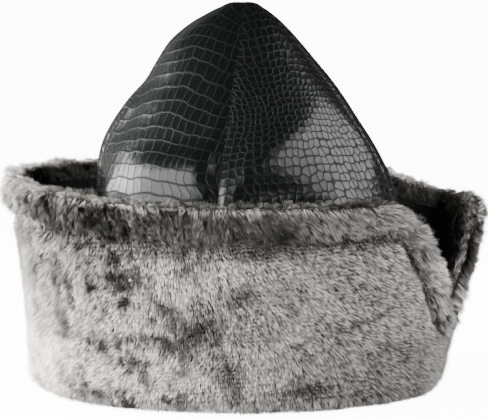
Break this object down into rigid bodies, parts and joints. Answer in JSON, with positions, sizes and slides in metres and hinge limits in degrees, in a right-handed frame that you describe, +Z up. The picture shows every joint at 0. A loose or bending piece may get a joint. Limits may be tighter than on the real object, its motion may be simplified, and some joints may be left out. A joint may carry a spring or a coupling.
{
  "type": "bork hat",
  "caption": "Pointed winter hat of black crocodile-embossed leather, with a wide turned-up cuff of silver-grey fur that is notched at one side.",
  "frame": {"origin": "centre of the footprint, at the level of the surface that the hat stands on", "axes": "+Z up towards the crown's point, -Y towards the front of the hat, +X towards the notch in the cuff"},
  "size_m": [0.281, 0.269, 0.2218],
  "materials": {
    "leather": "glossy black, embossed with a crocodile grain",
    "fur": "dense silver-grey pile, dark at the root and pale at the tip",
    "lining": "matt black woven lining"
  },
  "bodies": {
    "root": {"gore_front_left": "leather", "gore_front_right": "leather", "gore_back_right": "leather", "gore_back_left": "leather", "fur_cuff": "fur", "cuff_lining": "lining"}
  },
  "joints": []
}
